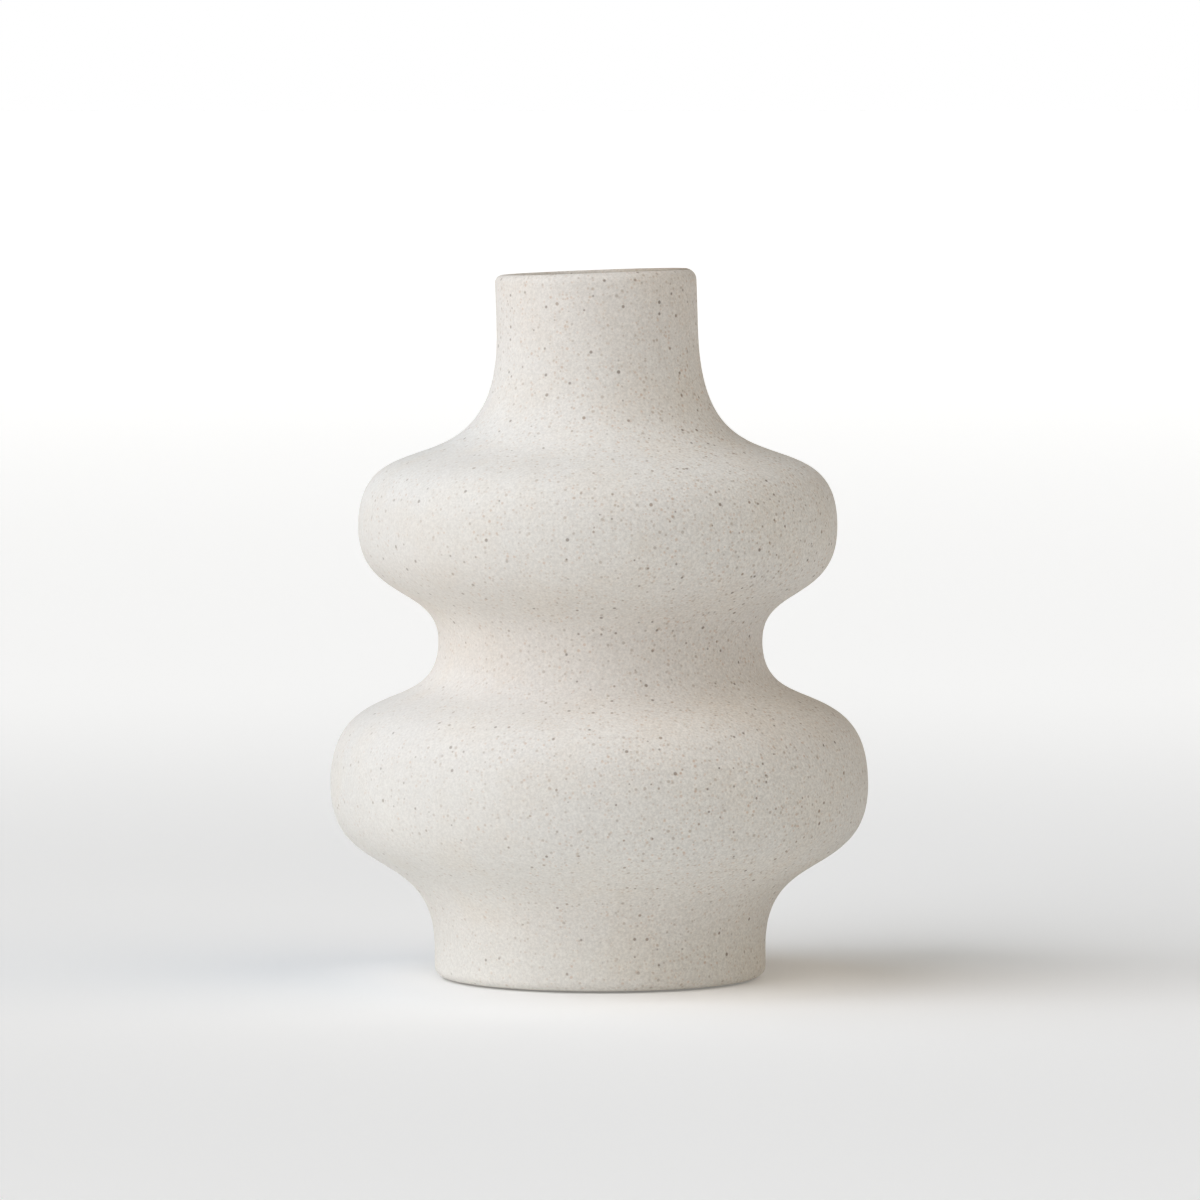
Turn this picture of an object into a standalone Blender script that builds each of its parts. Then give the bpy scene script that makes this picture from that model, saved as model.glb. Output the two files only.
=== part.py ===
"""A round stoneware vase with two soft bulges, glazed inside and standing on four silicone pads.

Metres, +Z up. The origin is on the table, under the vase's axis. The rim dips towards -X.
Run it with: blender --background --python part.py
"""

import math
from collections import namedtuple

import bmesh
import bpy
from mathutils import Vector

MM = 0.001

# The outer wall. At each station the wall runs straight up. Between two stations it is one
# S-shaped curve, and "below" and "above" say how far it is pulled along the station's upright.
# The hand that shaped it let its centre drift a little in x, by "drift" at each station.
# Heights are above the foot ring.
Station = namedtuple("Station", "radius height below above drift")
STATIONS = (
    Station(46.9 * MM, 8.2 * MM, 0.0, 29.7 * MM, 0.25 * MM),  # foot
    Station(76.2 * MM, 54.4 * MM, 27.0 * MM, 32.4 * MM, 0.0),  # lower bulge
    Station(45.8 * MM, 95.2 * MM, 23.4 * MM, 15.8 * MM, 0.35 * MM),  # waist
    Station(67.8 * MM, 127.5 * MM, 21.1 * MM, 33.3 * MM, -0.45 * MM),  # upper bulge
    Station(28.4 * MM, 183.5 * MM, 50.0 * MM, 0.0, -0.35 * MM),  # neck
)
BODY_HEIGHT = 199.5 * MM
WALL = 4.6 * MM

# The foot.
FOOT_EDGE_RADIUS = 3.0 * MM
FOOT_RING_WIDTH = 6.5 * MM
RECESS_DEPTH = 1.5 * MM
RECESS_SLOPE_WIDTH = 1.5 * MM
FLOOR_THICKNESS = 5.0 * MM
FLOOR_CORNER_RADIUS = 10.0 * MM

# The neck bends a little towards -X, so that the rim is out of level.
RIM_TILT = math.radians(2.1)
BEND_FROM = 160.0 * MM

# The glaze inside, which stops short of the lip.
GLAZE = 0.5 * MM
GLAZE_BELOW_LIP = 3.0 * MM
MESH_GAP = 0.3 * MM

# The pads under the recess.
PAD_COUNT = 4
PAD_RADIUS = 5.0 * MM
PAD_CIRCLE_RADIUS = 27.0 * MM
PAD_STANDS_PROUD = 0.5 * MM
PAD_EDGE = 0.4 * MM
FIRST_PAD_ANGLE = math.radians(45)

# How finely the round shapes are cut.
TURN_STEPS = 40
CURVE_STEPS = 8
LIP_STEPS = 6
CORNER_STEPS = 4
PAD_STEPS = 20
SHARP_ANGLE = math.radians(40)


def clear_scene():
    for thing in list(bpy.data.objects):
        bpy.data.objects.remove(thing)


def material(name, colour, roughness):
    made = bpy.data.materials.new(name)
    made.use_nodes = True
    shader = made.node_tree.nodes["Principled BSDF"]
    shader.inputs["Base Color"].default_value = (*colour, 1.0)
    shader.inputs["Roughness"].default_value = roughness
    shader.inputs["Metallic"].default_value = 0.0
    return made


def bezier(a, b, c, d, t):
    """The point at t on the cubic curve from a to d, pulled towards b and c."""
    s = 1.0 - t
    return s**3 * a + 3 * s * s * t * b + 3 * s * t * t * c + t**3 * d


def arc(centre, radius, start, end, steps):
    """Points on an arc, as (radius from the axis, height). Angles run from +r towards +z."""
    angles = (start + (end - start) * i / steps for i in range(steps + 1))
    return [centre + radius * Vector((math.cos(a), math.sin(a))) for a in angles]


def outer_wall():
    """The outer wall from the foot station up to the neck station, as (radius, height)."""
    points = []
    for low, high in zip(STATIONS, STATIONS[1:]):
        start = Vector((low.radius, low.height))
        end = Vector((high.radius, high.height))
        leave = start + Vector((0.0, low.above))
        arrive = end - Vector((0.0, high.below))
        points += [bezier(start, leave, arrive, end, i / CURVE_STEPS) for i in range(CURVE_STEPS)]
    return points + [end]


def offset(points, distance):
    """The path moved to its left by distance, each point along the mean of its two sides."""
    moved = []
    for i, point in enumerate(points):
        before = points[max(i - 1, 0)]
        after = points[min(i + 1, len(points) - 1)]
        if i in (0, len(points) - 1):
            along = (after - before).normalized()
        else:
            along = ((point - before).normalized() + (after - point).normalized()).normalized()
        moved.append(point + distance * Vector((-along.y, along.x)))
    return moved


def inner_wall():
    """The clay's inner face, from the lip down to the middle of the floor."""
    floor = RECESS_DEPTH + FLOOR_THICKNESS
    corner_height = floor + FLOOR_CORNER_RADIUS
    wall = [p for p in offset(outer_wall(), WALL) if p.y > corner_height + MM]
    wall.reverse()
    neck_radius = wall[0].x
    lip_base = Vector((neck_radius, BODY_HEIGHT - WALL / 2))
    foot_radius = STATIONS[0].radius - WALL
    corner_centre = Vector((foot_radius - FLOOR_CORNER_RADIUS, corner_height))
    corner = arc(corner_centre, FLOOR_CORNER_RADIUS, 0.0, -math.pi / 2, CORNER_STEPS)
    return [lip_base, *wall, *corner, Vector((0.0, floor))]


def underside():
    """The clay's underside, from the middle of the recess out over the foot ring to the wall."""
    ring_outer = STATIONS[0].radius - FOOT_EDGE_RADIUS
    ring_inner = ring_outer - FOOT_RING_WIDTH
    edge_centre = Vector((ring_outer, FOOT_EDGE_RADIUS))
    recess = [
        Vector((0.0, RECESS_DEPTH)),
        Vector((ring_inner - RECESS_SLOPE_WIDTH, RECESS_DEPTH)),
        Vector((ring_inner, 0.0)),
    ]
    return recess + arc(edge_centre, FOOT_EDGE_RADIUS, -math.pi / 2, 0.0, CORNER_STEPS)


def lip():
    """The full-round lip, from the outer wall over to the inner one, without its last point."""
    centre = Vector((STATIONS[-1].radius - WALL / 2, BODY_HEIGHT - WALL / 2))
    return arc(centre, WALL / 2, 0.0, math.pi, LIP_STEPS)[:-1]


def drift(height):
    """How far the wall's centre lies towards +X, eased from station to station."""
    for low, high in zip(STATIONS, STATIONS[1:]):
        if height < high.height:
            share = max((height - low.height) / (high.height - low.height), 0.0)
            return low.drift + (high.drift - low.drift) * share * share * (3.0 - 2.0 * share)
    return STATIONS[-1].drift


def bent(point):
    """The point after the wall's drift and the neck's bend, which turns evenly up to the rim."""
    rise = max(point.z - BEND_FROM, 0.0)
    tilt = RIM_TILT * rise / (BODY_HEIGHT - BEND_FROM)
    lean = tilt * rise / 2.0
    return Vector((point.x + drift(point.z) - lean, point.y, point.z + tilt * point.x))


def turned(name, path, look):
    """One closed solid: the path, from the axis round to the axis or a closed loop, turned."""
    mesh = bpy.data.meshes.new(name)
    shape = bmesh.new()
    corners = [shape.verts.new((p.x, 0.0, p.y)) for p in path]
    sides = [shape.edges.new(pair) for pair in zip(corners, corners[1:])]
    bmesh.ops.spin(
        shape,
        geom=corners + sides,
        cent=(0.0, 0.0, 0.0),
        axis=(0.0, 0.0, 1.0),
        angle=math.tau,
        steps=TURN_STEPS,
        use_merge=True,
    )
    bmesh.ops.remove_doubles(shape, verts=shape.verts[:], dist=0.001 * MM)
    bmesh.ops.recalc_face_normals(shape, faces=shape.faces[:])
    for corner in shape.verts:
        corner.co = bent(corner.co)
    return finished(name, mesh, shape, look)


def finished(name, mesh, shape, look):
    """The bmesh as a smooth-shaded object with its material."""
    shape.to_mesh(mesh)
    shape.free()
    mesh.shade_smooth()
    mesh.set_sharp_from_angle(angle=SHARP_ANGLE)
    mesh.materials.append(look)
    made = bpy.data.objects.new(name, mesh)
    bpy.context.scene.collection.objects.link(made)
    return made


def stoneware_body(stand, look):
    """The fired clay: one shell from the foot ring to the lip."""
    outside = underside() + outer_wall() + lip()
    body = turned("stoneware_body", outside + inner_wall(), look)
    body.parent = stand


def inner_glaze(stand, look):
    """The glassy coat that makes the clay hold water: a thin open cup inside the wall."""
    wall = inner_wall()
    wall[0] = Vector((wall[0].x, BODY_HEIGHT - GLAZE_BELOW_LIP))
    wall_side = offset(wall, -MESH_GAP)
    water_side = offset(wall, -MESH_GAP - GLAZE)
    coat = turned("inner_glaze", wall_side[::-1] + water_side, look)
    coat.parent = stand


def pad_mesh(look):
    """A short silicone disc with softened edges, its underside at height 0."""
    mesh = bpy.data.meshes.new("pad")
    shape = bmesh.new()
    height = PAD_STANDS_PROUD + RECESS_DEPTH - MESH_GAP
    bmesh.ops.create_cone(
        shape,
        cap_ends=True,
        segments=PAD_STEPS,
        radius1=PAD_RADIUS,
        radius2=PAD_RADIUS,
        depth=height,
    )
    bmesh.ops.translate(shape, verts=shape.verts[:], vec=(0.0, 0.0, height / 2))
    rims = [e for e in shape.edges if abs(e.verts[0].co.z - e.verts[1].co.z) < height / 2]
    bmesh.ops.bevel(shape, geom=rims, offset=PAD_EDGE, segments=1, profile=0.5, affect="EDGES")
    shape.to_mesh(mesh)
    shape.free()
    mesh.shade_smooth()
    mesh.set_sharp_from_angle(angle=SHARP_ANGLE)
    mesh.materials.append(look)
    return mesh


def pads(look):
    """The pads, evenly spaced on a circle in the recess."""
    mesh = pad_mesh(look)
    for i in range(PAD_COUNT):
        angle = FIRST_PAD_ANGLE + math.tau * i / PAD_COUNT
        pad = bpy.data.objects.new(f"pad_{i + 1}", mesh)
        pad.location = (PAD_CIRCLE_RADIUS * math.cos(angle), PAD_CIRCLE_RADIUS * math.sin(angle), 0.0)
        pad.rotation_euler.z = angle
        bpy.context.scene.collection.objects.link(pad)


def main():
    clear_scene()
    stoneware = material("stoneware", (0.74, 0.71, 0.66), 0.85)
    glaze = material("liner_glaze", (0.80, 0.78, 0.73), 0.2)
    silicone = material("silicone", (0.82, 0.82, 0.80), 0.45)
    stand = bpy.data.objects.new("foot_ring_plane", None)
    stand.location.z = PAD_STANDS_PROUD
    bpy.context.scene.collection.objects.link(stand)
    stoneware_body(stand, stoneware)
    inner_glaze(stand, glaze)
    pads(silicone)


main()
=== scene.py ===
import math
from collections import namedtuple

import bpy
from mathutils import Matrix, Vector, noise


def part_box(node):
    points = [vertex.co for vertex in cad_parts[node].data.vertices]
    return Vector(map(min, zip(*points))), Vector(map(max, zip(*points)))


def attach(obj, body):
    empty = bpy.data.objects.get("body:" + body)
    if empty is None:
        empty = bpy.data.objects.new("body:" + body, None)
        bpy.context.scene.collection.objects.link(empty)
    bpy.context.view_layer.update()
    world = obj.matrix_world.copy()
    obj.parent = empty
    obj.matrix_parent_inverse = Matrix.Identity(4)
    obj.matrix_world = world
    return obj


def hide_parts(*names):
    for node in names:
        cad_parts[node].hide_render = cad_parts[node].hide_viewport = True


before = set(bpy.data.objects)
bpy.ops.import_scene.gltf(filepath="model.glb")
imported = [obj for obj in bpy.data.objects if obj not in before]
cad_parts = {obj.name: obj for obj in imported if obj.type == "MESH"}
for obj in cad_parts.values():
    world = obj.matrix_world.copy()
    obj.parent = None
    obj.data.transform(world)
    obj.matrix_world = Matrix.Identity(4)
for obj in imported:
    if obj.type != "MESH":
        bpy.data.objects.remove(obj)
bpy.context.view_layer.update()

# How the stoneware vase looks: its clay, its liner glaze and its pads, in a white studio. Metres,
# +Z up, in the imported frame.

MM = 0.001

# The clay's shape. At each station the outer wall runs straight up. Between two stations it is one
# S-shaped curve, pulled along each station's upright by "below" and "above", and its centre lies
# off the axis by "drift". Heights are above the foot ring.
Station = namedtuple("Station", "radius height below above drift")
STATIONS = (
    Station(46.9 * MM, 8.2 * MM, 0.0, 29.7 * MM, 0.25 * MM),  # foot
    Station(76.2 * MM, 54.4 * MM, 27.0 * MM, 32.4 * MM, 0.0),  # lower bulge
    Station(45.8 * MM, 95.2 * MM, 23.4 * MM, 15.8 * MM, 0.35 * MM),  # waist
    Station(67.8 * MM, 127.5 * MM, 21.1 * MM, 33.3 * MM, -0.45 * MM),  # upper bulge
    Station(28.4 * MM, 183.5 * MM, 50.0 * MM, 0.0, -0.35 * MM),  # neck
)
BODY_HEIGHT = 199.5 * MM
WALL = 4.6 * MM
FOOT_EDGE_RADIUS = 3.0 * MM
FOOT_RING_WIDTH = 6.5 * MM
RECESS_DEPTH = 1.5 * MM
RECESS_SLOPE_WIDTH = 1.5 * MM
RECESS_SLOPE_EASE = 0.4  # how far down the slope its rounded top pulls
FLOOR_THICKNESS = 5.0 * MM
FLOOR_CORNER_RADIUS = 10.0 * MM
WALL_ABOVE_CORNER = 1.0 * MM
LIP_OUTER_RADIUS = 2.75 * MM
LIP_OUTER_SWAY = 0.5 * MM  # how much rounder the lip is towards +X, and sharper towards -X
LIP_INNER_RADIUS = 1.3 * MM
RIM_TILT = math.radians(2.1)
RIM_TIP = math.radians(0.45)  # the far side of the lip sits a touch lower than the near side
BEND_FROM = 160.0 * MM
FOOT_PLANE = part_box("stoneware_body")[0].z

# The hand's unevenness in the wall. It grows from nothing at the foot ring.
WAVE = 0.18 * MM
WAVE_LENGTH = 38 * MM
WAVE_FULL_FROM = 20 * MM
NEAR_AXIS = 1.0 * MM

# The glaze sits on the clay. Over its top edge it thins out, evenly at first and then fast.
GLAZE = 0.6 * MM
GLAZE_LIFT = 0.03 * MM
GLAZE_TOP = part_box("inner_glaze")[1].z
GLAZE_THINS_OVER = 4.0 * MM
GLAZE_EDGE_SHARE = 0.12
GLAZE_FINE_OVER = 6.0 * MM

# The pads.
PAD_ROUND = 0.55 * MM
PAD_DISH = 0.08 * MM

# How finely the shapes are cut.
TURN_STEPS = 240
CURVE_STEPS = 56
CORNER_STEPS = 12
RECESS_STEPS = 24
RECESS_SLOPE_STEPS = 6
FOOT_RING_STEPS = 4
FOOT_WALL_STEPS = 4
NECK_STEPS = 16
LIP_STEPS = 20
INNER_NECK_STEPS = 6
INNER_EVERY = 4  # the inner wall keeps one in so many of the outer wall's points
GLAZE_FINE_STEPS = 12
PAD_STEPS = 48
PAD_FACE_STEPS = 12
PAD_TOP_STEPS = 6

# The clay's UV map gives the dark inside, from some points below the lip, a smaller share.
INSIDE_UV_SHARE = 0.1
POINTS_BELOW_LIP = 10


def bezier(a, b, c, d, t):
    """The point at t on the cubic curve from a to d, pulled towards b and c."""
    s = 1.0 - t
    return s**3 * a + 3 * s * s * t * b + 3 * s * t * t * c + t**3 * d


def arc(centre, radius, start, end, steps):
    """Points on an arc, as (radius from the axis, height). Angles run from +r towards +z."""
    angles = (start + (end - start) * i / steps for i in range(steps + 1))
    return [centre + radius * Vector((math.cos(a), math.sin(a))) for a in angles]


def straight(start, end, steps):
    """Points from start up to, but without, end."""
    return [start.lerp(end, i / steps) for i in range(steps)]


def offset(points, distance):
    """The path moved to its left by distance, each point along the mean of its two sides."""
    moved = []
    for i, point in enumerate(points):
        before = points[max(i - 1, 0)]
        after = points[min(i + 1, len(points) - 1)]
        along = (after - before).normalized()
        moved.append(point + distance * Vector((-along.y, along.x)))
    return moved


def outer_wall():
    """The outer wall from the foot station up to the neck station, as (radius, height)."""
    points = []
    for low, high in zip(STATIONS, STATIONS[1:]):
        start = Vector((low.radius, low.height))
        end = Vector((high.radius, high.height))
        leave = start + Vector((0.0, low.above))
        arrive = end - Vector((0.0, high.below))
        points += [bezier(start, leave, arrive, end, i / CURVE_STEPS) for i in range(CURVE_STEPS)]
    return points + [end]


def inner_wall():
    """The clay's inner face, from the lip down to the middle of the floor."""
    floor = RECESS_DEPTH + FLOOR_THICKNESS
    corner_height = floor + FLOOR_CORNER_RADIUS
    wall_foot = corner_height + WALL_ABOVE_CORNER
    wall = [p for p in offset(outer_wall(), WALL)[::INNER_EVERY] if p.y > wall_foot]
    wall.reverse()
    lip_base = Vector((STATIONS[-1].radius - WALL, BODY_HEIGHT - LIP_INNER_RADIUS))
    foot_radius = STATIONS[0].radius - WALL
    corner_centre = Vector((foot_radius - FLOOR_CORNER_RADIUS, corner_height))
    corner = arc(corner_centre, FLOOR_CORNER_RADIUS, 0.0, -math.pi / 2, CORNER_STEPS)
    return [*straight(lip_base, wall[0], INNER_NECK_STEPS), *wall, *corner, Vector((0.0, floor))]


def underside():
    """The clay's underside, from the middle of the recess out over the foot ring to the wall."""
    ring_outer = STATIONS[0].radius - FOOT_EDGE_RADIUS
    ring_inner = ring_outer - FOOT_RING_WIDTH
    slope_top = Vector((ring_inner - RECESS_SLOPE_WIDTH, RECESS_DEPTH))
    slope_foot = Vector((ring_inner, 0.0))
    slope_pull = slope_top.lerp(slope_foot, RECESS_SLOPE_EASE)
    recess = straight(Vector((0.0, RECESS_DEPTH)), slope_top, RECESS_STEPS)
    slope = [
        bezier(slope_top, slope_pull, slope_foot, slope_foot, i / RECESS_SLOPE_STEPS)
        for i in range(RECESS_SLOPE_STEPS)
    ]
    ring = straight(slope_foot, Vector((ring_outer, 0.0)), FOOT_RING_STEPS)
    edge_centre = Vector((ring_outer, FOOT_EDGE_RADIUS))
    edge = arc(edge_centre, FOOT_EDGE_RADIUS, -math.pi / 2, 0.0, CORNER_STEPS)
    wall_start = Vector((STATIONS[0].radius, STATIONS[0].height))
    foot_wall = straight(edge[-1], wall_start, FOOT_WALL_STEPS)[1:]
    return recess + slope + ring + edge + foot_wall


def lip(angle):
    """The lip at an angle round the rim, from the neck station over to the inner wall.

    Its last point, where the inner wall starts, is left out.
    """
    outer = LIP_OUTER_RADIUS + LIP_OUTER_SWAY * math.cos(angle)
    neck = Vector((STATIONS[-1].radius, STATIONS[-1].height))
    outer_centre = Vector((neck.x - outer, BODY_HEIGHT - outer))
    inner_centre = Vector((neck.x - WALL + LIP_INNER_RADIUS, BODY_HEIGHT - LIP_INNER_RADIUS))
    outside = arc(outer_centre, outer, 0.0, math.pi / 2, LIP_STEPS)
    inside = arc(inner_centre, LIP_INNER_RADIUS, math.pi / 2, math.pi, LIP_STEPS)
    return straight(neck, outside[0], NECK_STEPS)[1:] + outside + inside[:-1]


def drift(height):
    """How far the wall's centre lies towards +X, eased from station to station."""
    for low, high in zip(STATIONS, STATIONS[1:]):
        if height < high.height:
            share = max((height - low.height) / (high.height - low.height), 0.0)
            return low.drift + (high.drift - low.drift) * share * share * (3.0 - 2.0 * share)
    return STATIONS[-1].drift


def bent(point):
    """The point after the wall's drift and the neck's bend, which turns evenly up to the rim."""
    rise = max(point.z - BEND_FROM, 0.0)
    share = rise / (BODY_HEIGHT - BEND_FROM)
    tilt = RIM_TILT * share
    lean = tilt * rise / 2.0
    height = point.z + tilt * point.x - RIM_TIP * share * point.y
    return Vector((point.x + drift(point.z) - lean, point.y, height))


def uneven(point):
    """The point moved in or out by the hand's unevenness, but not at the ring or on the axis."""
    radius = math.hypot(point.x, point.y)
    if radius < NEAR_AXIS:
        return point
    swell = noise.noise(point / WAVE_LENGTH) * WAVE * min(point.z / WAVE_FULL_FROM, 1.0)
    share = 1.0 + swell / radius
    return Vector((point.x * share, point.y * share, point.z))


def raised(point):
    """The point of the clay's own shape, where it stands in the frame."""
    moved = bent(uneven(point))
    return Vector((moved.x, moved.y, moved.z + FOOT_PLANE))


def unrolled(path, uv_share):
    """How high each point of the path lies in the UV map, from 0 to 1."""
    lengths = [0.0]
    for i, (a, b) in enumerate(zip(path, path[1:])):
        lengths.append(lengths[-1] + (b - a).length * uv_share(i))
    return [length / lengths[-1] for length in lengths]


def turned(name, path_at, shape, look, steps=TURN_STEPS, uv_share=lambda i: 1.0):
    """One closed mesh: path_at(angle), which runs from the axis round to the axis, turned.

    Its UV map is unrolled round the axis, and uv_share(i) is the weight of the path's i-th stretch.
    """
    angles = [math.pi / 2 + math.tau * j / steps for j in range(steps)]
    paths = [path_at(angle) for angle in angles]
    path = paths[0]
    heights = unrolled(path, uv_share)
    rows = len(path) - 2
    verts = [
        shape(Vector((own[i].x * math.cos(angle), own[i].x * math.sin(angle), own[i].y)))
        for i in range(1, rows + 1)
        for angle, own in zip(angles, paths)
    ]
    first, last = len(verts), len(verts) + 1
    verts += [shape(Vector((0.0, 0.0, end.y))) for end in (path[0], path[-1])]
    faces, uvs = [], []
    for i in range(rows - 1):
        low, high = i * steps, (i + 1) * steps
        under, over = heights[i + 1], heights[i + 2]
        for j in range(steps):
            k = (j + 1) % steps
            left, right = j / steps, (j + 1) / steps
            faces.append((low + j, low + k, high + k, high + j))
            uvs += [(left, under), (right, under), (right, over), (left, over)]
    top = (rows - 1) * steps
    for j in range(steps):
        k = (j + 1) % steps
        left, right = j / steps, (j + 1) / steps
        faces += [(first, k, j), (last, top + j, top + k)]
        uvs += [((left + right) / 2, 0.0), (right, heights[1]), (left, heights[1])]
        uvs += [((left + right) / 2, 1.0), (left, heights[-2]), (right, heights[-2])]
    mesh = bpy.data.meshes.new(name)
    mesh.from_pydata(verts, [], faces)
    layer = mesh.uv_layers.new(name="OFBake")
    layer.data.foreach_set("uv", [number for uv in uvs for number in uv])
    mesh.shade_smooth()
    mesh.materials.append(look)
    made = bpy.data.objects.new(name, mesh)
    bpy.context.scene.collection.objects.link(made)
    return made


def stoneware(look):
    """The fired clay: underside, outer wall, lip and inner wall, as one closed mesh."""
    below_lip = underside() + outer_wall()
    inside = inner_wall()
    inside_from = len(below_lip) + len(lip(0.0)) + POINTS_BELOW_LIP
    body = turned(
        "stoneware",
        lambda angle: below_lip + lip(angle) + inside,
        raised,
        look,
        uv_share=lambda i: 1.0 if i < inside_from else INSIDE_UV_SHARE,
    )
    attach(body, "root")
    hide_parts("stoneware_body")


def liner_glaze(look):
    """The glassy coat: the clay's inner wall, lifted by a thickness that fades at its top edge."""
    wall = inner_wall()
    top = GLAZE_TOP - FOOT_PLANE
    fine_foot = top - GLAZE_FINE_OVER
    fine = straight(Vector((wall[0].x, top)), Vector((wall[0].x, fine_foot)), GLAZE_FINE_STEPS)
    wall = fine + [p for p in wall if p.y < fine_foot]
    clay_side = offset(wall, -GLAZE_LIFT)
    water_side = []
    for dry, wet in zip(wall, offset(wall, -GLAZE)):
        below_top = min(max((top - dry.y) / GLAZE_THINS_OVER, 0.0), 1.0)
        share = GLAZE_EDGE_SHARE + (1.0 - GLAZE_EDGE_SHARE) * math.sqrt(below_top)
        water_side.append(dry.lerp(wet, share))
    path = clay_side[::-1] + water_side
    coat = turned("liner_glaze", lambda angle: path, raised, look)
    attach(coat, "root")
    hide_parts("inner_glaze")


def pad_path():
    """Half a pad's outline: a soft disc with a slightly dished face and a rounded rim."""
    low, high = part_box("pad_1")
    height = high.z - low.z
    flat = (high.x - low.x) / 2 - PAD_ROUND
    shares = [i / PAD_FACE_STEPS for i in range(PAD_FACE_STEPS)]
    face = [Vector((flat * s, PAD_DISH * math.cos(math.pi / 2 * s))) for s in shares]
    edge = arc(Vector((flat, PAD_ROUND)), PAD_ROUND, -math.pi / 2, 0.0, CORNER_STEPS)
    top_edge = arc(Vector((flat, height - PAD_ROUND)), PAD_ROUND, 0.0, math.pi / 2, CORNER_STEPS)
    centre = Vector((0.0, height))
    return face + edge + top_edge + straight(top_edge[-1], centre, PAD_TOP_STEPS)[1:] + [centre]


def pads(look):
    """The silicone pads, each where its CAD node stands."""
    path = pad_path()
    for name in sorted(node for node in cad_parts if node.startswith("pad_")):
        low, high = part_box(name)
        foot = Vector(((low.x + high.x) / 2, (low.y + high.y) / 2, low.z))
        pad = turned(f"{name}_soft", lambda angle: path, lambda point: point + foot, look, PAD_STEPS)
        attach(pad, "root")
        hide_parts(name)


class Nodes:
    """Adds nodes to one material's tree."""

    def __init__(self, name):
        self.material = bpy.data.materials.new(name)
        self.material.use_nodes = True
        self.tree = self.material.node_tree
        self.shader = self.tree.nodes["Principled BSDF"]
        self.place = self.tree.nodes.new("ShaderNodeTexCoord").outputs["Object"]

    def link(self, source, target):
        self.tree.links.new(source, target)

    def noise(self, size, detail=2.0, rough=0.5):
        node = self.tree.nodes.new("ShaderNodeTexNoise")
        node.inputs["Scale"].default_value = 1.0 / size
        node.inputs["Detail"].default_value = detail
        node.inputs["Roughness"].default_value = rough
        self.link(self.place, node.inputs["Vector"])
        return node.outputs["Fac"]

    def span(self, value, low, high, to_low=0.0, to_high=1.0):
        """value's stretch from low to high, eased to to_low..to_high."""
        node = self.tree.nodes.new("ShaderNodeMapRange")
        node.interpolation_type = "SMOOTHSTEP"
        self.link(value, node.inputs["Value"])
        sockets = ("From Min", "From Max", "To Min", "To Max")
        for socket, number in zip(sockets, (low, high, to_low, to_high)):
            node.inputs[socket].default_value = number
        return node.outputs["Result"]

    def maths(self, operation, a, b):
        node = self.tree.nodes.new("ShaderNodeMath")
        node.operation = operation
        for socket, value in zip(node.inputs, (a, b)):
            if isinstance(value, (int, float)):
                socket.default_value = value
            else:
                self.link(value, socket)
        return node.outputs["Value"]

    def times(self, a, b):
        return self.maths("MULTIPLY", a, b)

    def length(self, vector):
        node = self.tree.nodes.new("ShaderNodeVectorMath")
        node.operation = "LENGTH"
        self.link(vector, node.inputs[0])
        return node.outputs["Value"]

    def mix(self, factor, a, b, blend="MIX"):
        """The colour a, or where factor is 1 the colour b.

        The node's colour sockets share their names with others, so they go by number.
        """
        node = self.tree.nodes.new("ShaderNodeMix")
        node.data_type = "RGBA"
        node.blend_type = blend
        for socket, value in zip((node.inputs["Factor"], node.inputs[6], node.inputs[7]), (factor, a, b)):
            if isinstance(value, (int, float)):
                socket.default_value = value
            elif isinstance(value, tuple):
                socket.default_value = (*value, 1.0)
            else:
                self.link(value, socket)
        return node.outputs[2]

    def tinted(self, colour, tint):
        """The colour multiplied by the tint."""
        return self.mix(1.0, colour, tint, "MULTIPLY")

    def specks(self, layer, crowd=1.0):
        """Round grains of random sizes in a random share of places, which crowd scales.

        Returns how far they cover the ground and a random number for each.
        """
        node = self.tree.nodes.new("ShaderNodeTexVoronoi")
        node.inputs["Scale"].default_value = 1.0 / layer.spacing
        self.link(self.place, node.inputs["Vector"])
        split = self.tree.nodes.new("ShaderNodeSeparateColor")
        self.link(node.outputs["Color"], split.inputs["Color"])
        there = self.maths("LESS_THAN", split.outputs["Red"], self.times(crowd, layer.share))
        least, largest = layer.least / layer.spacing, layer.largest / layer.spacing
        size = self.span(split.outputs["Blue"], 0.0, 1.0, least, largest)
        edge = self.maths("SUBTRACT", self.times(there, size), node.outputs["Distance"])
        return self.span(edge, 0.0, layer.soft / layer.spacing), split.outputs["Green"]

    def bump(self, height, distance, normal=None):
        node = self.tree.nodes.new("ShaderNodeBump")
        node.inputs["Distance"].default_value = distance
        self.link(height, node.inputs["Height"])
        if normal is not None:
            self.link(normal, node.inputs["Normal"])
        return node.outputs["Normal"]


# Where most of a noise's values lie.
NOISE_RANGE = (0.3, 0.7)

# Below, a "detail" is a noise's detail and, where there are two numbers, its roughness.

# The clay's ground: two tones in soft clouds, and warmer patches.
GROUND = ((0.769, 0.744, 0.700), (0.790, 0.763, 0.714))
CLOUD_SIZE = 28 * MM
WARM_PATCH = (0.995, 0.983, 0.968)
WARM_PATCH_SIZE = 17 * MM
WARM_PATCH_RANGE = (0.45, 0.68)
CLAY_SPECULAR = 0.3

# Its grain, which runs from dark to light, and a coarser sandiness with shaded and glinting spots.
GRAIN_SIZE = 0.72 * MM
GRAIN_DETAIL = (3.0, 0.62)
GRAIN_TONES = (0.87, 1.13)
GRAIN_ROUGHNESS = (0.82, 0.95)
SANDY_SIZE = 1.6 * MM
SANDY_DETAIL = (2.0, 0.6)
SANDY_SHADE = (0.955, 0.945, 0.935)
SANDY_GLINT = (1.035, 1.04, 1.045)

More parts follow.
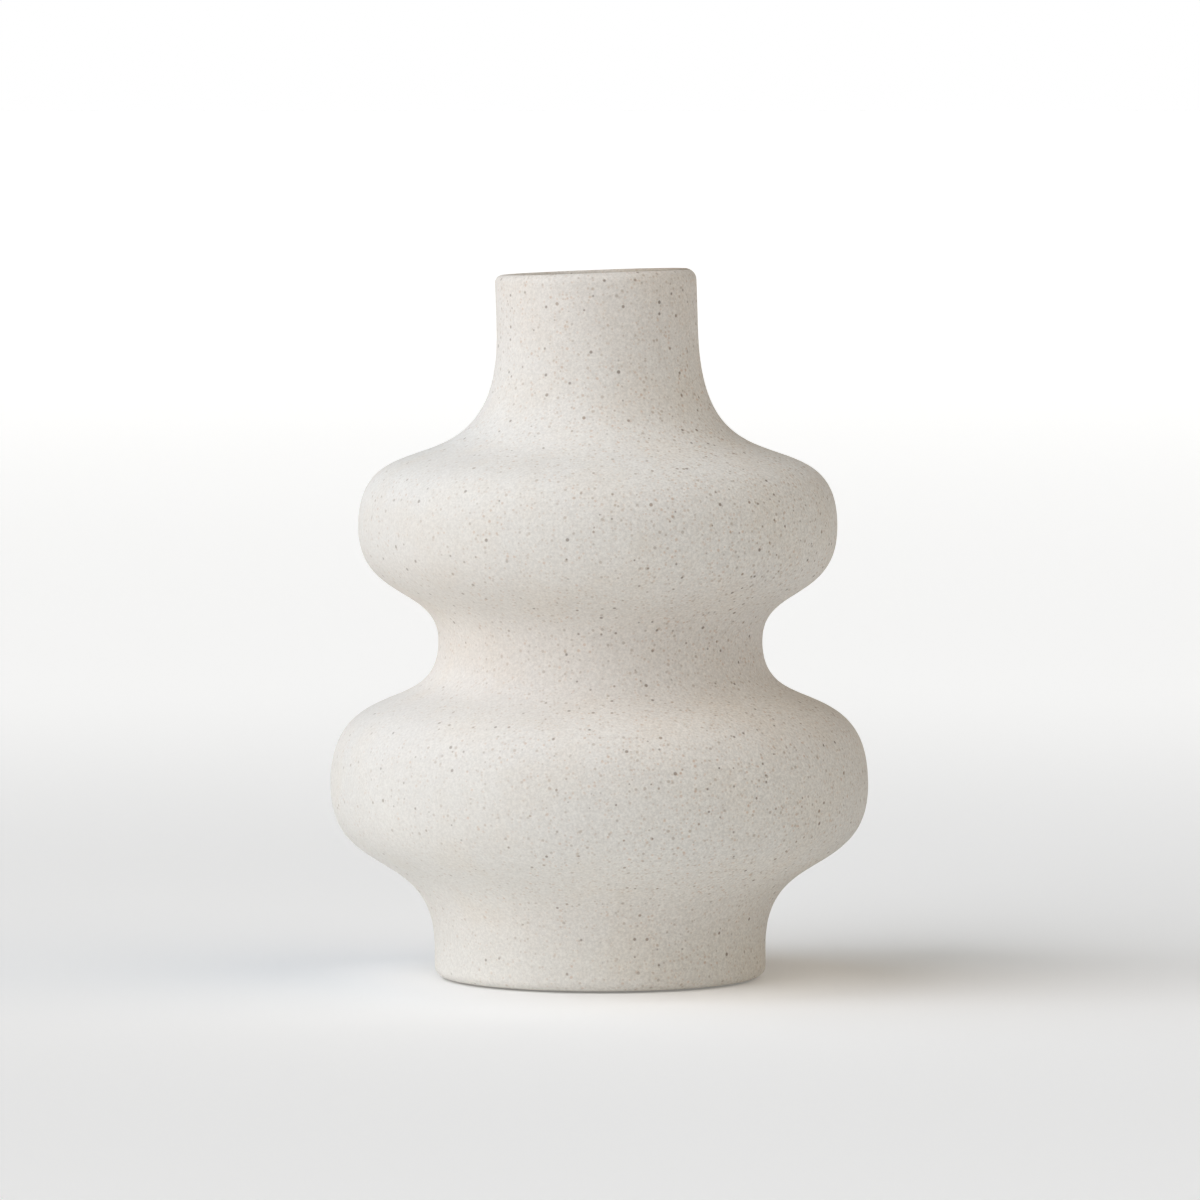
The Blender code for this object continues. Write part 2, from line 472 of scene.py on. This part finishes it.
# Its relief: sand all over, and dark specks that lie a little deeper than the clay.
RELIEF_SIZE = 0.5 * MM
RELIEF_DETAIL = (2.0, 0.6)
RELIEF_DEPTH = 0.05 * MM
PIT_DEPTH = 0.08 * MM

# The mineral specks in the clay: each layer's spacing, least and largest radius, the share of places
# that hold one, its soft edge, how much of the clay it covers, and the colours it runs between.
Specks = namedtuple("Specks", "spacing least largest share soft cover dark light")
FAINT_SPECKS = Specks(
    1.05 * MM, 0.30 * MM, 0.52 * MM, 0.42, 0.33 * MM, 0.29, (0.42, 0.29, 0.19), (0.55, 0.41, 0.29)
)
BROWN_SPECKS = Specks(
    2.00 * MM, 0.40 * MM, 0.66 * MM, 0.56, 0.40 * MM, 0.42, (0.28, 0.21, 0.15), (0.45, 0.34, 0.24)
)
DARK_SPECKS = Specks(
    3.20 * MM, 0.41 * MM, 0.67 * MM, 0.60, 0.34 * MM, 0.69, (0.17, 0.13, 0.10), (0.36, 0.27, 0.20)
)
# Rust flecks, which gather in patches.
RUST = Specks(
    1.60 * MM, 0.36 * MM, 0.60 * MM, 0.60, 0.38 * MM, 0.42, (0.48, 0.27, 0.14), (0.58, 0.39, 0.25)
)
RUST_PATCH_SIZE = 11 * MM
RUST_PATCH_RANGE = (0.42, 0.62)
RUST_BETWEEN_PATCHES = 0.3

# The clay holds fewer specks at the foot and more at the rim. From -X to +X there are more of them, they
# cover more, and the clay grows grainier: painted light and shade, the texture fainter on the lit -X side
# and stronger on the shaded +X side.
SPECKS_AT_FOOT = 0.86
SPECKS_AT_RIM = 1.22
GRAINY_FROM = -68 * MM
GRAINY_TO = 58 * MM
SPECKS_ON_EACH_SIDE = (0.56, 1.34)
COVER_ON_EACH_SIDE = (0.74, 1.22)
GRAIN_ON_EACH_SIDE = (0.40, 0.80)

# Painted light and shade by height, such as lighter bands where the shoulders face up to the light and a
# darker neck: heights above the table, and the tone there.
BRIGHTEST_TONE = 1.06
PAINTED_LIGHT_TONES = (
    (9 * MM, (0.993, 0.996, 0.987)),
    (20 * MM, (0.999, 0.994, 0.987)),
    (38 * MM, (0.987, 0.993, 0.993)),
    (56 * MM, (0.979, 0.984, 0.985)),
    (80 * MM, (1.036, 1.033, 1.043)),
    (96 * MM, (1.020, 0.999, 0.988)),
    (114 * MM, (0.993, 0.985, 0.978)),
    (129 * MM, (0.984, 0.985, 0.985)),
    (149 * MM, (1.035, 1.043, 1.060)),
    (170 * MM, (0.980, 0.976, 0.978)),
    (189 * MM, (0.972, 0.958, 0.954)),
)

# Painted shade on the lip's inner edge, strongest towards +X. Each pair says where the shade starts and
# where it is full.
LIP_PAINTED_SHADE = (0.62, 0.56, 0.49)
LIP_SHADE_RADII = (0.8 * MM, 0.1 * MM)  # outside the middle of the lip's inner round
LIP_SHADE_BELOW_RIM = (14 * MM, 3 * MM)
LIP_SHADE_SIDES = (-14 * MM, 22 * MM)  # in x
LIP_SHADE_AT_FAINT_SIDE = 0.15

# The liner glaze, with the clay's dark specks showing softly through.
GLAZE_TONES = ((0.70, 0.67, 0.61), (0.74, 0.71, 0.655))
GLAZE_CLOUD_SIZE = 9 * MM
GLAZE_SPECK_TONE = (0.3, 0.25, 0.2)
GLAZE_SPECK_COVER = 0.5
GLAZE_ROUGHNESS = (0.10, 0.2)
GLAZE_ROUGHNESS_SIZE = 5 * MM
GLAZE_RIPPLE_SIZE = 4 * MM
GLAZE_RIPPLE_DEPTH = 0.04 * MM

# The silicone, cleaner and dustier.
SILICONE_TONES = ((0.74, 0.74, 0.72), (0.62, 0.61, 0.58))
SILICONE_ROUGHNESS = (0.35, 0.6)
DUST_SIZE = 1.2 * MM
DUST_DETAIL = 3.0
DUST_RANGE = (0.4, 0.7)
SILICONE_RELIEF_SIZE = 0.6 * MM
SILICONE_RELIEF_DEPTH = 0.02 * MM


def painted_light_at_height(n, height):
    """The painted light and shade at a height, from a ramp whose first stops make way for the tones."""
    ramp = n.tree.nodes.new("ShaderNodeValToRGB")
    ramp.color_ramp.interpolation = "EASE"
    n.link(n.maths("DIVIDE", height, BODY_HEIGHT), ramp.inputs["Fac"])
    stops = ramp.color_ramp.elements
    stops.remove(stops[-1])
    for level, tone in PAINTED_LIGHT_TONES:
        stop = stops.new(level / BODY_HEIGHT)
        stop.color = (*(value / BRIGHTEST_TONE for value in tone), 1.0)
    stops.remove(stops[0])
    return ramp.outputs["Color"]


def lip_painted_shade(n, place):
    """How much painted shade the lip's inner edge gets, most towards +X."""
    flat = n.tree.nodes.new("ShaderNodeCombineXYZ")
    n.link(place.outputs["X"], flat.inputs["X"])
    n.link(place.outputs["Y"], flat.inputs["Y"])
    edge = STATIONS[-1].radius - WALL + LIP_INNER_RADIUS
    start, full = LIP_SHADE_RADII
    inside = n.span(n.length(flat.outputs["Vector"]), edge + full, edge + start, 1.0, 0.0)
    start, full = LIP_SHADE_BELOW_RIM
    near_rim = n.span(place.outputs["Z"], BODY_HEIGHT - start, BODY_HEIGHT - full)
    side = n.span(place.outputs["X"], *LIP_SHADE_SIDES, LIP_SHADE_AT_FAINT_SIDE, 1.0)
    return n.times(n.times(inside, near_rim), side)


def clay_ground(n, place):
    """The clay without its specks, and its grain."""
    ground = n.mix(n.span(n.noise(CLOUD_SIZE), *NOISE_RANGE), *GROUND)
    # The ground takes painted light and shade by height.
    ground = n.tinted(ground, painted_light_at_height(n, place.outputs["Z"]))
    warmth = n.span(n.noise(WARM_PATCH_SIZE), *WARM_PATCH_RANGE)
    ground = n.mix(warmth, ground, n.tinted(ground, WARM_PATCH))
    # Painted shade on the lip's inner edge.
    plain = n.mix(lip_painted_shade(n, place), ground, n.tinted(ground, LIP_PAINTED_SHADE))
    grain = n.noise(GRAIN_SIZE, *GRAIN_DETAIL)
    sandy = n.noise(SANDY_SIZE, *SANDY_DETAIL)
    grained = n.tinted(plain, n.span(grain, *NOISE_RANGE, *GRAIN_TONES))
    shade = n.tinted(grained, SANDY_SHADE)
    glint = n.tinted(grained, SANDY_GLINT)
    grained = n.mix(n.span(sandy, *NOISE_RANGE), shade, glint)
    # Painted light and shade: the grain fainter on the lit -X side, stronger on the shaded +X side.
    grainy = n.span(place.outputs["X"], GRAINY_FROM, GRAINY_TO, *GRAIN_ON_EACH_SIDE)
    return n.mix(grainy, plain, grained), grain


def stoneware_look():
    """Matte sandy clay: a warm off-white ground, soft clouds, fine grain, faint and dark specks."""
    n = Nodes("stoneware")
    place = n.tree.nodes.new("ShaderNodeSeparateXYZ")
    n.link(n.place, place.inputs["Vector"])
    ground, grain = clay_ground(n, place)
    # Painted light and shade: the specks fewer and fainter on the lit -X side, more on the shaded +X
    # side.
    side_crowd = n.span(place.outputs["X"], GRAINY_FROM, GRAINY_TO, *SPECKS_ON_EACH_SIDE)
    side_cover = n.span(place.outputs["X"], GRAINY_FROM, GRAINY_TO, *COVER_ON_EACH_SIDE)
    crowd = n.span(place.outputs["Z"], 0.0, BODY_HEIGHT, SPECKS_AT_FOOT, SPECKS_AT_RIM)
    crowd = n.times(crowd, side_crowd)
    patches = n.span(n.noise(RUST_PATCH_SIZE), *RUST_PATCH_RANGE, RUST_BETWEEN_PATCHES, 1.0)
    seen, kind = n.specks(RUST, crowd)
    cover = n.times(n.times(seen, patches), n.times(side_cover, RUST.cover))
    ground = n.mix(cover, ground, n.mix(kind, RUST.dark, RUST.light))
    for layer in (FAINT_SPECKS, BROWN_SPECKS, DARK_SPECKS):
        seen, kind = n.specks(layer, crowd)
        cover = n.times(seen, n.times(side_cover, layer.cover))
        ground = n.mix(cover, ground, n.mix(kind, layer.dark, layer.light))
    n.link(ground, n.shader.inputs["Base Color"])
    n.link(n.span(grain, *NOISE_RANGE, *GRAIN_ROUGHNESS), n.shader.inputs["Roughness"])
    n.shader.inputs["Specular IOR Level"].default_value = CLAY_SPECULAR
    sand = n.bump(n.noise(RELIEF_SIZE, *RELIEF_DETAIL), RELIEF_DEPTH)
    n.link(n.bump(n.times(seen, -1.0), PIT_DEPTH, sand), n.shader.inputs["Normal"])
    return n.material


def glaze_look():
    """Glossy liner glaze with the clay's specks showing softly through."""
    n = Nodes("liner_glaze")
    milky = n.mix(n.span(n.noise(GLAZE_CLOUD_SIZE), *NOISE_RANGE), *GLAZE_TONES)
    seen = n.specks(DARK_SPECKS)[0]
    speckled = n.mix(n.times(seen, GLAZE_SPECK_COVER), milky, GLAZE_SPECK_TONE)
    rough = n.span(n.noise(GLAZE_ROUGHNESS_SIZE), *NOISE_RANGE, *GLAZE_ROUGHNESS)
    ripple = n.bump(n.noise(GLAZE_RIPPLE_SIZE, 1.0), GLAZE_RIPPLE_DEPTH)
    n.link(speckled, n.shader.inputs["Base Color"])
    n.link(rough, n.shader.inputs["Roughness"])
    n.link(ripple, n.shader.inputs["Normal"])
    return n.material


def silicone_look():
    """Cloudy silicone, a little dusty."""
    n = Nodes("silicone")
    dust = n.span(n.noise(DUST_SIZE, DUST_DETAIL), *DUST_RANGE)
    n.link(n.mix(dust, *SILICONE_TONES), n.shader.inputs["Base Color"])
    n.link(n.span(dust, 0.0, 1.0, *SILICONE_ROUGHNESS), n.shader.inputs["Roughness"])
    relief = n.bump(n.noise(SILICONE_RELIEF_SIZE), SILICONE_RELIEF_DEPTH)
    n.link(relief, n.shader.inputs["Normal"])
    return n.material


# The floor is pale paper. It glows more with distance from the vase, so that it ends in pure white.
FLOOR_SIZE = 60.0
PAPER_TONES = ((0.88, 0.88, 0.88), (0.89, 0.89, 0.89))
PAPER_CLOUD_SIZE = 0.4
PAPER_ROUGHNESS = 0.9
GLOW_COLOUR = (1.0, 0.985, 0.95, 1.0)
NEAR_GLOW = 0.1
FAR_GLOW = 0.25
HORIZON_GLOW = 0.42
GLOW_FROM = 0.3
GLOW_TO = 1.2
HORIZON_FROM = 6.0

# Behind the floor's edge a white band stands all round, under a black sky.
BACKDROP = 1.0
SKY = 0.0
BAND_TOP = (0.05, 0.10)  # where it fades into the sky, as the z of a direction of length 1

# Broad soft lights, far off, so that the floor is lit evenly as far as it goes. Azimuth 0 is where
# the camera stands, and it grows towards +X.
Lamp = namedtuple("Lamp", "name azimuth elevation breadth strength colour")
LAMPS = (
    Lamp("key_light", -58, 30, 70, 2.27, (0.985, 0.98, 1.0)),
    Lamp("high_left_light", -105, 58, 50, 0.772, (0.76, 0.88, 1.0)),
    Lamp("high_right_light", 75, 50, 60, 0.883, (1.0, 0.87, 0.72)),
    Lamp("high_front_light", 20, 60, 50, 0.177, (0.86, 0.98, 1.0)),
)

# The camera stands far off, a little above the rim.
LOOK_AT = Vector((0.2 * MM, 0.0, 100 * MM))
CAMERA = Vector((0.2 * MM, -2540 * MM, 266 * MM))
SENSOR_WIDTH = 36.0  # millimetres, as Blender counts it
FRAME_WIDTH = 339.5 * MM  # what the picture is wide at LOOK_AT
FRAME_SHIFT = 25 / 1200
SEES_TO = 100.0


def floor_look():
    """White paper that glows more with distance from the vase."""
    n = Nodes("floor")
    n.link(n.mix(n.noise(PAPER_CLOUD_SIZE, 1.0), *PAPER_TONES), n.shader.inputs["Base Color"])
    n.shader.inputs["Roughness"].default_value = PAPER_ROUGHNESS
    distance = n.length(n.place)
    near = n.span(distance, GLOW_FROM, GLOW_TO, NEAR_GLOW, FAR_GLOW)
    far = n.span(distance, GLOW_TO, HORIZON_FROM, 0.0, HORIZON_GLOW - FAR_GLOW)
    n.shader.inputs["Emission Color"].default_value = GLOW_COLOUR
    n.link(n.maths("ADD", near, far), n.shader.inputs["Emission Strength"])
    return n.material


def white_floor():
    mesh = bpy.data.meshes.new("floor")
    half = FLOOR_SIZE / 2
    corners = [(-half, -half, 0), (half, -half, 0), (half, half, 0), (-half, half, 0)]
    mesh.from_pydata(corners, [], [(0, 1, 2, 3)])
    mesh.materials.append(floor_look())
    floor = bpy.data.objects.new("floor", mesh)
    bpy.context.scene.collection.objects.link(floor)


def backdrop():
    """A white band that stands all round behind the floor's edge, under a black sky."""
    world = bpy.data.worlds.new("studio")
    world.use_nodes = True
    tree = world.node_tree
    way = tree.nodes.new("ShaderNodeTexCoord").outputs["Generated"]
    split = tree.nodes.new("ShaderNodeSeparateXYZ")
    tree.links.new(way, split.inputs["Vector"])
    fade = tree.nodes.new("ShaderNodeMapRange")
    fade.interpolation_type = "SMOOTHSTEP"
    tree.links.new(split.outputs["Z"], fade.inputs["Value"])
    sockets = ("From Min", "From Max", "To Min", "To Max")
    for socket, number in zip(sockets, (*BAND_TOP, BACKDROP, SKY)):
        fade.inputs[socket].default_value = number
    tree.links.new(fade.outputs["Result"], tree.nodes["Background"].inputs["Strength"])
    tree.nodes["Background"].inputs["Color"].default_value = (1.0, 1.0, 1.0, 1.0)
    bpy.context.scene.world = world


def aimed(thing, place, target):
    thing.location = place
    thing.rotation_euler = (target - place).to_track_quat("-Z", "Y").to_euler()
    bpy.context.scene.collection.objects.link(thing)
    return thing


def soft_light(lamp):
    light = bpy.data.lights.new(lamp.name, "SUN")
    light.angle = math.radians(lamp.breadth)
    light.energy = lamp.strength
    light.color = lamp.colour
    azimuth, elevation = math.radians(lamp.azimuth), math.radians(lamp.elevation)
    level = math.cos(elevation)
    way = Vector((math.sin(azimuth) * level, -math.cos(azimuth) * level, math.sin(elevation)))
    aimed(bpy.data.objects.new(lamp.name, light), LOOK_AT + way, LOOK_AT)


def studio():
    white_floor()
    backdrop()
    for lamp in LAMPS:
        soft_light(lamp)
    bpy.context.scene.view_settings.view_transform = "Standard"


def camera():
    lens = bpy.data.cameras.new("camera")
    lens.sensor_width = SENSOR_WIDTH
    lens.lens = SENSOR_WIDTH * (CAMERA - LOOK_AT).length / FRAME_WIDTH
    lens.shift_y = FRAME_SHIFT
    lens.clip_end = SEES_TO
    bpy.context.scene.camera = aimed(bpy.data.objects.new("camera", lens), CAMERA, LOOK_AT)


studio()
camera()
stoneware(stoneware_look())
liner_glaze(glaze_look())
pads(silicone_look())
